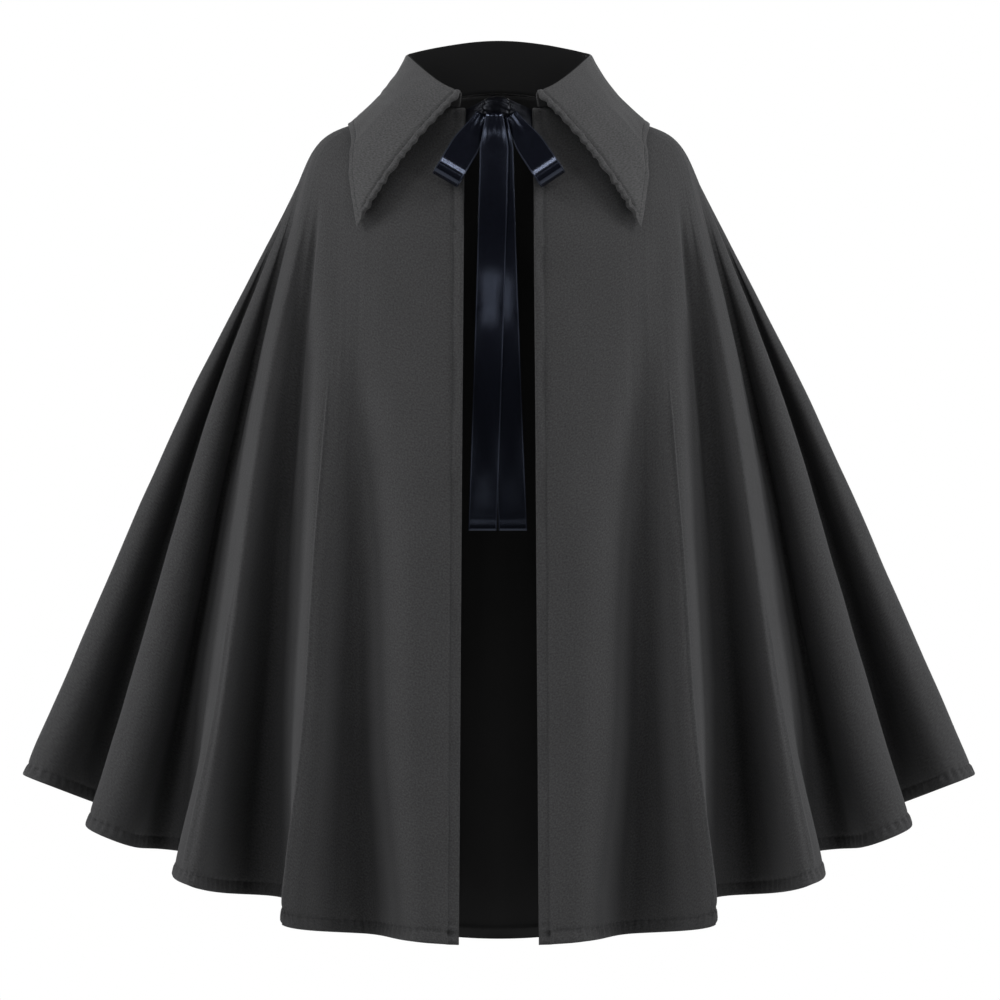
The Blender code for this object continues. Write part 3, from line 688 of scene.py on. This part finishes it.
def buildCollar():
    form = collarForm
    ends = np.array([0, 4, 10, 18, 28, 40, 54, 70, 88, 108, 130, 155, 185, 220, 260]) / 1000
    span = 2 * (len(collarRows) - 1)
    inner = np.arange(1, span * form["columns"]) / form["columns"]
    inner = inner[(inner > form["endReach"]) & (inner < span - form["endReach"])]
    places = np.concatenate([ends, inner, (span - ends)[::-1]])
    standRings, rollRings, fallRings = form["rings"]
    inStand, inRoll = np.linspace(0, 1, standRings), np.linspace(0, 1, rollRings)[1:-1]
    edgeShares = 1 - np.array([9.5, 8.2, 7.2, 6.5, 6.0, 5.4, 4.6, 3.6, 2.6, 1.7, 0.9, 0.4, 0.0]) / 100
    inFall = np.concatenate([np.linspace(0, form["evenFall"], fallRings), edgeShares])
    rollIndex = len(inStand) + len(inRoll) // 2
    middle = calm(collarMiddle(places, inStand, inRoll, inFall), 1, 6)
    normals = unit(calm(gridNormals(middle), 1, 2))

    # puckers and a stitched line along the edges, and soft ripples
    down = runLength(middle, 1)
    fromEdge = down[:, -1:] - down
    across = runLength(middle, 0)
    total = across[-1:, :]
    fromFront = np.minimum(across, total - across)
    onFall = beyond(down - down[:, [rollIndex]], form["rollFade"])
    distance = np.minimum(fromEdge, fromFront)
    run = np.where(fromFront < fromEdge, down, across + form["edgeShift"])
    uneven = softNoise(run * form["unevenRate"], distance * 0, 5.5)
    wave = np.sin(2 * math.pi * run / form["pucker"] + form["unevenShift"] * uneven)
    wave = wave * (0.6 + 0.8 * np.abs(uneven))
    frontShare = within(fromFront, form["frontReach"]) * beyond(fromEdge, form["footReach"])
    relief = form["puckerHeight"] * wave * frontShare * within(distance, form["puckerReach"])
    awayFromPoint = beyond(np.maximum(fromFront, fromEdge), form["pointReach"])
    groove = form["groove"][0] + form["groove"][1] * frontShare
    groove = groove * bump(distance, form["stitchIn"], form["grooveWidth"])
    relief -= groove * (0.8 + 0.2 * wave) * awayFromPoint
    for height, rateAcross, rateDown, seed in form["ripples"]:
        relief += height * softNoise(across * rateAcross, down * rateDown, seed)
    centre = middle + normals * (relief * onFall)[..., None]
    sideways = unit(np.gradient(middle, axis=0)) * np.sign(total / 2 - across)[..., None]
    scallop = form["scallop"] * within(fromFront, (form["stitchIn"], form["scallopOver"]))
    centre = centre + sideways * (scallop * wave * onFall * frontShare)[..., None]

    # the wall: full along the front edges, thin and rounded at the outer edge
    puff = form["edgePuff"] * within(distance, (form["stitchIn"], form["puffOver"])) * frontShare
    full = np.maximum(ease(fromEdge / form["thinOver"]), frontShare)
    half = form["wall"] / 2 * (form["edgeThin"] + (1 - form["edgeThin"]) * full) + puff * onFall
    rounding = np.clip(1 - distance / form["edgeRound"], 0, 1) ** 2
    reach = normals * (half * np.sqrt(np.clip(1 - rounding, 0.02, 1)))[..., None]
    outer = centre + reach
    uv = np.stack([across - total / 2, down], -1)
    piece = wallPiece("collarFold", outer, centre - reach, uv, [collarCloth, paintedShadeStandCloth])
    # the neck side of the stand takes the darkest copy of the cloth, painted shade
    slots = np.zeros(len(piece.data.polygons), int)
    columns, rings = outer.shape[0] - 1, outer.shape[1] - 1
    ringOfFace = np.arange(columns * rings) % rings
    slots[:columns * rings][ringOfFace < rollIndex] = 1  # the neck side of the stand is dark
    piece.data.polygons.foreach_set("material_index", slots.tolist())
    return {"piece": piece, "outer": outer, "normals": normals, "fromEdge": fromEdge,
            "fromFront": fromFront, "rollIndex": rollIndex}


collar = buildCollar()


# the ribbon: sewn ends, knot, loops and tails

ribbonForm = {"width": 0.025, "pinchedWidth": 0.014, "wall": 0.0007, "columns": 17,
              "knotCentre": (-0.002, -0.090, -0.008), "knotRadii": (0.0135, 0.0095, 0.0105),
              "knotClear": 0.0009}


def knotSurface(direction):
    direction = unit(np.array(direction, float))
    radius = 1 / np.linalg.norm(direction / np.array(ribbonForm["knotRadii"]))
    return np.array(ribbonForm["knotCentre"]) + direction * (radius + ribbonForm["knotClear"])


def resample(points, extras, count):
    # even steps along a smooth curve through the points
    knots = runLength(points, 0)
    at = np.linspace(0, knots[-1], count)
    return curveThrough(knots, points, at), [np.interp(at, knots, extra) for extra in extras]


def buildStrip(name, centres, sides, widths, gather, cup=0.0, thick=ribbonForm["wall"], satin=ribbonSatin):
    # a ribbon along its middle line; cup bends it across, gather folds it lengthwise where it is pinched
    sides = unit(np.asarray(sides, float))
    count, columns = len(centres), ribbonForm["columns"]
    shares = np.sin(np.linspace(-math.pi / 2, math.pi / 2, columns)) * 0.5
    gather, cup, thick = (np.broadcast_to(value, count)[:, None] for value in (gather, cup, thick))
    normals = unit(np.cross(unit(np.gradient(centres, axis=0)), sides))
    offset = cup * (4 * shares ** 2) + gather * np.cos(shares * 4 * math.pi)
    grid = centres[:, None] + sides[:, None] * (widths[:, None] * shares)[..., None]
    grid = grid + normals[:, None] * offset[..., None]
    facing = gridNormals(grid)
    facing *= np.where((facing * normals[:, None]).sum(-1, keepdims=True) < 0, -1, 1)
    along, across = np.meshgrid(runLength(centres, 0), shares * ribbonForm["width"], indexing="ij")
    half = facing * thick[..., None] / 2
    return wallPiece(name, grid - half, grid + half, np.stack([across, along], -1), [satin])


loopForm = {
    "leaves": (0.86, -0.05, -0.5), "end": (0.0428, -0.0978, -0.0645),  # direction from the knot, far end
    "open": 0.0095, "spread": (0.16, 0.72, 0.12),  # opening: shares at the knot, along the loop, at its end
    "endFrom": 0.88, "widen": 1.6, "gather": 0.0006, "gatherFade": 2.2, "points": 90,
}


def buildLoop(name, side):
    form, full, pinched = loopForm, ribbonForm["width"], ribbonForm["pinchedWidth"]
    end = np.array(form["end"]) * (side, 1, 1)
    start = knotSurface(np.array(form["leaves"]) * (side, 1, 1))
    length = np.linalg.norm(end - start)
    forward = (end - start) / length
    across = unit(np.cross(forward, (0.0, -1.0, 0.0)))
    face = unit(np.cross(across, forward))
    face = face if face[1] < 0 else -face
    shares = np.concatenate([np.linspace(0, 0.84, 13), np.linspace(form["endFrom"], 1, 9)])
    atKnot, alongLoop, atEnd = form["spread"]
    late = ease((shares - form["endFrom"]) / (1 - form["endFrom"]))
    opening = np.outer(form["open"] * (atKnot + alongLoop * shares + atEnd * late), face)
    middle = start + np.outer(shares, forward * length)
    turns = np.linspace(0, math.pi, 13)[1:-1, None]
    bend = end + (face * np.cos(turns) + forward * np.sin(turns)) * form["open"]
    points = np.concatenate([middle + opening, bend, (middle - opening)[::-1]])
    width = pinched + (full - pinched) * ease(shares * form["widen"])
    pinch = form["gather"] * (1 - ease(shares * form["gatherFade"]))
    widths = np.concatenate([width, np.full(len(bend), full), width[::-1]])
    gathers = np.concatenate([pinch, np.zeros(len(bend)), pinch[::-1]])
    centres, (widths, gathers) = resample(points, (widths, gathers), form["points"])
    return buildStrip(name, centres, [across] * len(centres), widths, gathers)


tailForm = {
    "topZ": -0.032, "footZ": -0.382, "waves": 1.96, "phase": -1.9, "spread": 1.2,
    "sway": (1.15, 0.55), "swayIn": 3,  # at the top, and what is lost by the foot
    "gather": (0.0007, 0.0003), "cup": 0.0009, "cupRate": 24, "cupFrom": 0.05,
    "turnUp": 0.008, "turnUpWall": 0.0006, "turnUpFade": 0.0015,  # sewn hem at the foot
    "footRound": 0.0008, "points": 130,
}
# name, node, leaves the knot y, z, top x, y, foot x, y, wave
tailRows = [
    ("rightTail", "ribbon_tail_right", -0.85, -0.52, -0.004, -0.1020, -0.0145, -0.0960, 0.0048),
    ("leftTail", "ribbon_tail_left", -0.62, -0.78, 0.000, -0.0995, 0.0125, -0.0935, 0.0042),
]


def buildTail(name, leavesY, leavesZ, topX, topY, footX, footY, wave):
    form, full, pinched = tailForm, ribbonForm["width"], ribbonForm["pinchedWidth"]
    start = knotSurface((0.0, leavesY, leavesZ)) + (topX - ribbonForm["knotCentre"][0], 0.0, 0.0)
    shares = np.linspace(0, 1, 30)
    sway = wave * np.sin(2 * math.pi * form["waves"] * shares + form["phase"])
    sway = sway * ease(shares * form["swayIn"]) * (form["sway"][0] - form["sway"][1] * shares)
    x = topX + (footX - topX) * shares ** form["spread"]
    y = topY + (footY - topY) * ease(shares * 2) + sway
    z = form["topZ"] + (form["footZ"] - form["topZ"]) * shares
    points = np.vstack([start, np.stack([x, y, z], -1)])
    widths = np.full(len(points), full)
    widths[:2] = pinched, (pinched + 2 * full) / 3
    pinch = np.zeros(len(points))
    pinch[:2] = form["gather"]
    centres, (widths, pinch) = resample(points, (widths, pinch), form["points"])
    run = runLength(centres, 0)
    fromFoot = run[-1] - run
    cup = form["cup"] * np.sin(fromFoot * form["cupRate"]) * ease(fromFoot / form["cupFrom"])
    turned = ease((form["turnUp"] - fromFoot) / form["turnUpFade"] + 0.5)
    thick = ribbonForm["wall"] + form["turnUpWall"] * turned
    thick *= np.sqrt(np.clip(fromFoot / form["footRound"], 0.15, 1))
    return buildStrip(name, centres, [(1.0, 0.0, 0.0)] * len(centres), widths, pinch, cup, thick)


sewnForm = {"root": 0.30, "inset": 0.0012, "meets": (0.75, 0.62, 0.2), "width": 0.016, "narrow": 0.8,
            "gather": 0.0005, "points": 24}


def buildSewnEnd(name, side):
    form = sewnForm
    frontEdge = capeLines(foldKnots[[0]], **cadRings)[0]
    root = frontEdge[0] + (frontEdge[1] - frontEdge[0]) * form["root"]
    root = root * (side, 1, 1) + (-side * form["inset"], 0.0, 0.0)
    tip = knotSurface(np.array(form["meets"]) * (side, 1, 1))
    shares = np.linspace(0, 1, form["points"])
    down = shares[:, None]
    edgeDown = unit(frontEdge[1] - frontEdge[0]) * (side, 1, 1)
    sides = unit(edgeDown * (1 - down) + np.array([0.0, 0.0, -1.0]) * down)
    widths = form["width"] + (ribbonForm["pinchedWidth"] * form["narrow"] - form["width"]) * shares
    centres = root + (tip - root) * down
    # the sewn end takes the dull satin copy, painted shade
    return buildStrip(name, centres, sides, widths, form["gather"] * shares, satin=crumpledPaintedShadeSatin)


knotForm = {"rings": 44, "sides": 64, "plump": 0.75, "plumpDeep": 0.95, "slant": (2.4, 1.1), "folds": 3.3,
            "foldDepth": 0.07, "lineDepth": 0.05, "lineSlant": 0.25, "lineWidth": 0.10, "unevenness": 0.03,
            "unevenRate": 2.2, "size": 0.965, "deepest": 0.12, "weaveAcross": 0.7}


def buildKnot():
    # a plump wrap of ribbon with slanting folds pressed into it
    form = knotForm
    rings, sides = form["rings"], form["sides"]
    level = np.linspace(0.0, math.pi, rings)[:, None]
    turn = np.linspace(0, 2 * math.pi, sides, endpoint=False)[None, :]
    girth = np.sin(level) ** form["plump"]
    x = girth * np.sign(np.cos(turn)) * np.abs(np.cos(turn)) ** form["plump"]
    y = girth * np.sign(np.sin(turn)) * np.abs(np.sin(turn)) ** form["plumpDeep"]
    z = np.sign(np.cos(level)) * np.abs(np.cos(level)) ** form["plump"] * np.ones_like(turn)
    slant = z * form["slant"][0] + x * form["slant"][1]
    press = form["foldDepth"] * (0.5 + 0.5 * np.cos(slant * form["folds"])) ** 3
    press = press + form["lineDepth"] * bump(x, form["lineSlant"] * z, form["lineWidth"])
    rate = form["unevenRate"]
    press = press + form["unevenness"] * softNoise(x * rate, z * rate + y, 4.4)
    shape = np.stack([x, y, z], -1) * (form["size"] - np.clip(press, 0, form["deepest"]))[..., None]
    points = shape * ribbonForm["knotRadii"] + ribbonForm["knotCentre"]
    vertices = np.concatenate([points[:1, 0], points[1:-1].reshape(-1, 3), points[-1:, 0]])
    last, start = len(vertices) - 1, 1 + (rings - 3) * sides
    around = [(k, (k + 1) % sides) for k in range(sides)]
    faces = [(0, 1 + k, 1 + after) for k, after in around]
    for upper in range(1, start, sides):
        lower = upper + sides
        faces += [(upper + k, lower + k, lower + after, upper + after) for k, after in around]
    faces += [(last, start + after, start + k) for k, after in around]
    uv = (vertices[:, [0, 2]] - (ribbonForm["knotCentre"][0], 0)) * (form["weaveAcross"], 1)
    # the knot takes the dull satin copy, painted shade
    return meshPiece("bowKnot", vertices, faces, uv, [crumpledPaintedShadeSatin])


bowKnot = buildKnot()
leftLoop, rightLoop = buildLoop("leftLoop", 1), buildLoop("rightLoop", -1)
tails = {row[1]: buildTail(row[0], *row[2:]) for row in tailRows}
leftSewnEnd, rightSewnEnd = buildSewnEnd("leftSewnEnd", 1), buildSewnEnd("rightSewnEnd", -1)
print("ribbon made")


# stitches along the hems and the collar's edge, one geometry tree for all of them

stitchForm = {"pitch": 0.0040, "length": 0.0028, "radius": 0.00024, "sink": 0.00005,
              "hemSkip": 2, "edgeSkip": (10, 14), "rollSkip": 8}


def buildStitchTree():
    tree = bpy.data.node_groups.new("stitchRow", "GeometryNodeTree")
    sockets = [("Path", "INPUT", "Geometry"), ("Pitch", "INPUT", "Float"), ("Thread", "INPUT", "Material"),
               ("Stitch Length", "INPUT", "Float"), ("Thread Radius", "INPUT", "Float"),
               ("Stitches", "OUTPUT", "Geometry")]
    for label, way, kind in sockets:
        tree.interface.new_socket(label, in_out=way, socket_type="NodeSocket" + kind)
    given = tree.nodes.new("NodeGroupInput").outputs
    result = tree.nodes.new("NodeGroupOutput")
    curve = newNode(tree, "GeometryNodeMeshToCurve", {"Mesh": given["Path"]}).outputs["Curve"]
    spacing = {"Curve": curve, "Length": given["Pitch"]}
    even = newNode(tree, "GeometryNodeCurveToPoints", spacing, mode="LENGTH")
    bar = newNode(tree, "GeometryNodeMeshUVSphere", {"Segments": 6, "Rings": 5, "Radius": 1.0})
    radius, half = given["Thread Radius"], times(tree, given["Stitch Length"], 0.5)
    size = newNode(tree, "ShaderNodeCombineXYZ", {0: radius, 1: radius, 2: half})
    place = newNode(tree, "GeometryNodeInstanceOnPoints", {
        "Points": even.outputs["Points"], "Instance": bar.outputs["Mesh"],
        "Rotation": even.outputs["Rotation"], "Scale": size.outputs[0]})
    solid = newNode(tree, "GeometryNodeRealizeInstances", {"Geometry": place.outputs["Instances"]})
    values = {"Geometry": solid.outputs["Geometry"], "Material": given["Thread"]}
    put(tree, result, {"Stitches": newNode(tree, "GeometryNodeSetMaterial", values).outputs["Geometry"]})
    return tree


stitchTree = buildStitchTree()


def sewLines(name, paths):
    points, edges = [], []
    for path in paths:
        first = len(points)
        points += [tuple(p) for p in path]
        edges += [(first + k, first + k + 1) for k in range(len(path) - 1)]
    mesh = bpy.data.meshes.new(name + "Path")
    mesh.from_pydata(points, edges, [])
    guide = addObject(name + "Path", mesh)
    modifier = guide.modifiers.new("stitchRow", "NODES")
    modifier.node_group = stitchTree
    values = {"Pitch": stitchForm["pitch"], "Stitch Length": stitchForm["length"],
              "Thread Radius": stitchForm["radius"], "Thread": sewingThread}
    for item in stitchTree.interface.items_tree:
        if item.in_out == "INPUT" and item.name in values:
            modifier[item.identifier] = values[item.name]
    guide.update_tag()
    ready = guide.evaluated_get(bpy.context.evaluated_depsgraph_get())
    plain = bpy.data.meshes.new_from_object(ready)
    plain.name = name
    guide.modifiers.clear()
    bpy.data.objects.remove(guide)
    plain.shade_smooth()
    print(name, len(plain.polygons), "faces")
    return addObject(name, plain)


def lineAt(points, distances, wanted):
    # the point of each line at a wanted distance
    found = []
    for line, distance in zip(points, distances):
        order = 1 if distance[0] < distance[-1] else -1
        found.append(pointAt(line[::order], distance[::order], wanted))
    return np.array(found)


def sewPanel(name, panel, frontFirst, frontLast):
    form = stitchForm
    lifted = panel["outer"] + panel["normals"] * form["sink"]
    paths = [lineAt(lifted, panel["fromHem"], panelForm["hemDepth"])[form["hemSkip"]:-form["hemSkip"]]]
    columns = np.swapaxes(lifted, 0, 1)
    top, foot = form["edgeSkip"]
    across = panel["across"]
    for isFront, distance in ((frontFirst, across), (frontLast, panel["width"] - across)):
        if isFront:
            paths.append(lineAt(columns, distance.T, panelForm["edgeDepth"])[top:-foot])
    return sewLines(name, paths)


leftStitches = sewPanel("leftFrontStitches", leftFront, True, False)
rightStitches = sewPanel("rightFrontStitches", rightFront, False, True)
backStitches = sewPanel("backStitches", backPanel, False, False)


def sewCollar():
    lifted = collar["outer"] + collar["normals"] * stitchForm["sink"]
    start = collar["rollIndex"] + stitchForm["rollSkip"]
    wanted = collarForm["stitchIn"]
    inside = collar["fromFront"][:, -30] > wanted  # at a ring well up the fall
    paths = [lineAt(lifted[:, start:], collar["fromEdge"][:, start:], wanted)[inside]]
    columns = np.swapaxes(lifted, 0, 1)[start:]
    distances = collar["fromFront"].T[start:]
    usable = collar["fromEdge"][0, start:] > wanted
    middle = len(lifted) // 2
    for half in (slice(None, middle), slice(middle, None)):
        paths.append(lineAt(columns[:, half], distances[:, half], wanted)[usable])
    return sewLines("collarStitches", paths)


collarStitches = sewCollar()


# each piece rides on the one body and stands for its node; a cut is the width and length of its cloth

# piece, node, slot, cut, stitches on it
dressing = [
    (leftFront["piece"], "front_panel_left", "cape_cloth", "front", [leftStitches]),
    (rightFront["piece"], "front_panel_right", "cape_cloth", "front", [rightStitches]),
    (backPanel["piece"], "back_panel", "cape_cloth", "back", [backStitches]),
    (collar["piece"], "collar", "collar_cloth", "collar", [collarStitches]),
    (bowKnot, "ribbon_knot", "ribbon_satin", None, []),
    (leftLoop, "ribbon_loop_left", "ribbon_satin", "loop", []),
    (rightLoop, "ribbon_loop_right", "ribbon_satin", "loop", []),
    *((tail, node, "ribbon_satin", "tail", []) for node, tail in tails.items()),
    (leftSewnEnd, "ribbon_sewn_end_left", "ribbon_satin", "sewnEnd", []),
    (rightSewnEnd, "ribbon_sewn_end_right", "ribbon_satin", "sewnEnd", []),
]
for piece, node, slot, cut, stitches in dressing:
    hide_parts(node)
    for part in [piece, *stitches]:
        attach(part, "root")
print("pieces dressed")


# pale studio: a floor below, white surroundings and soft lights in front, at both sides and behind

studio = {"floorZ": -1.60, "floorSize": 3.2, "floorColour": (0.60, 0.60, 0.59), "floorRoughness": 0.85,
          "surround": 0.04, "backdrop": 1.0}
# name, place, height aimed at, width, height, energy: one at each side
softboxes = [
    ("HighSoftbox", (3.12, -1.45, 2.06), -0.35, 1.5, 1.3, 63.0),
    ("SideSoftbox", (4.18, -0.15, 0.02), -0.35, 1.3, 1.3, 83.0),
    ("FrontSoftbox", (2.46, -3.39, 0.02), -0.35, 1.3, 1.3, 22.0),
    ("BackSoftbox", (1.90, 3.60, 1.00), -0.35, 1.3, 1.3, 30.0),
    ("CatchLight", (1.25, -2.10, 2.10), -0.06, 0.35, 0.35, 7.0),
]
sheenStrip = ("sheenStrip", (0, -4.3, 0.95), -0.2, 0.5, 0.5, 2.0)


def buildFloor():
    half, z = studio["floorSize"] / 2, studio["floorZ"]
    mesh = bpy.data.meshes.new("studioFloor")
    corners = [(-half, -half, z), (half, -half, z), (half, half, z), (-half, half, z)]
    mesh.from_pydata(corners, [], [(0, 1, 2, 3)])
    material = bpy.data.materials.new("paleFloor")
    material.use_nodes = True
    put(material.node_tree, material.node_tree.nodes["Principled BSDF"],
        {"Base Color": rgba(studio["floorColour"]), "Roughness": studio["floorRoughness"]})
    mesh.materials.append(material)
    addObject("studioFloor", mesh)


def buildWorld():
    world = bpy.data.worlds.new("paleStudio")
    world.use_nodes = True
    tree = world.node_tree
    white = (1.0, 1.0, 1.0, 1.0)
    lighting = tree.nodes["Background"]
    put(tree, lighting, {"Color": white, "Strength": studio["surround"]})
    seen = newNode(tree, "ShaderNodeBackground", {"Color": white, "Strength": studio["backdrop"]})
    byCamera = tree.nodes.new("ShaderNodeLightPath").outputs["Is Camera Ray"]
    either = newNode(tree, "ShaderNodeMixShader", {0: byCamera, 1: lighting.outputs[0], 2: seen.outputs[0]})
    put(tree, tree.nodes["World Output"], {"Surface": either.outputs[0]})
    bpy.context.scene.world = world


def softbox(name, place, aimZ, width, height, energy, side=1):
    data = bpy.data.lights.new(name, "AREA")
    data.shape = "RECTANGLE"
    data.size, data.size_y, data.energy = width, height, energy
    light = addObject(name, data)
    light.location = (side * place[0], place[1], place[2])
    light.rotation_euler = (Vector((0, 0, aimZ)) - light.location).to_track_quat("-Z", "Y").to_euler()


buildFloor()
buildWorld()
for side, word in ((-1, "left"), (1, "right")):
    for name, *rest in softboxes:
        softbox(word + name, *rest, side)
softbox(*sheenStrip)
bpy.context.scene.view_settings.view_transform = "Standard"
print("studio lit")
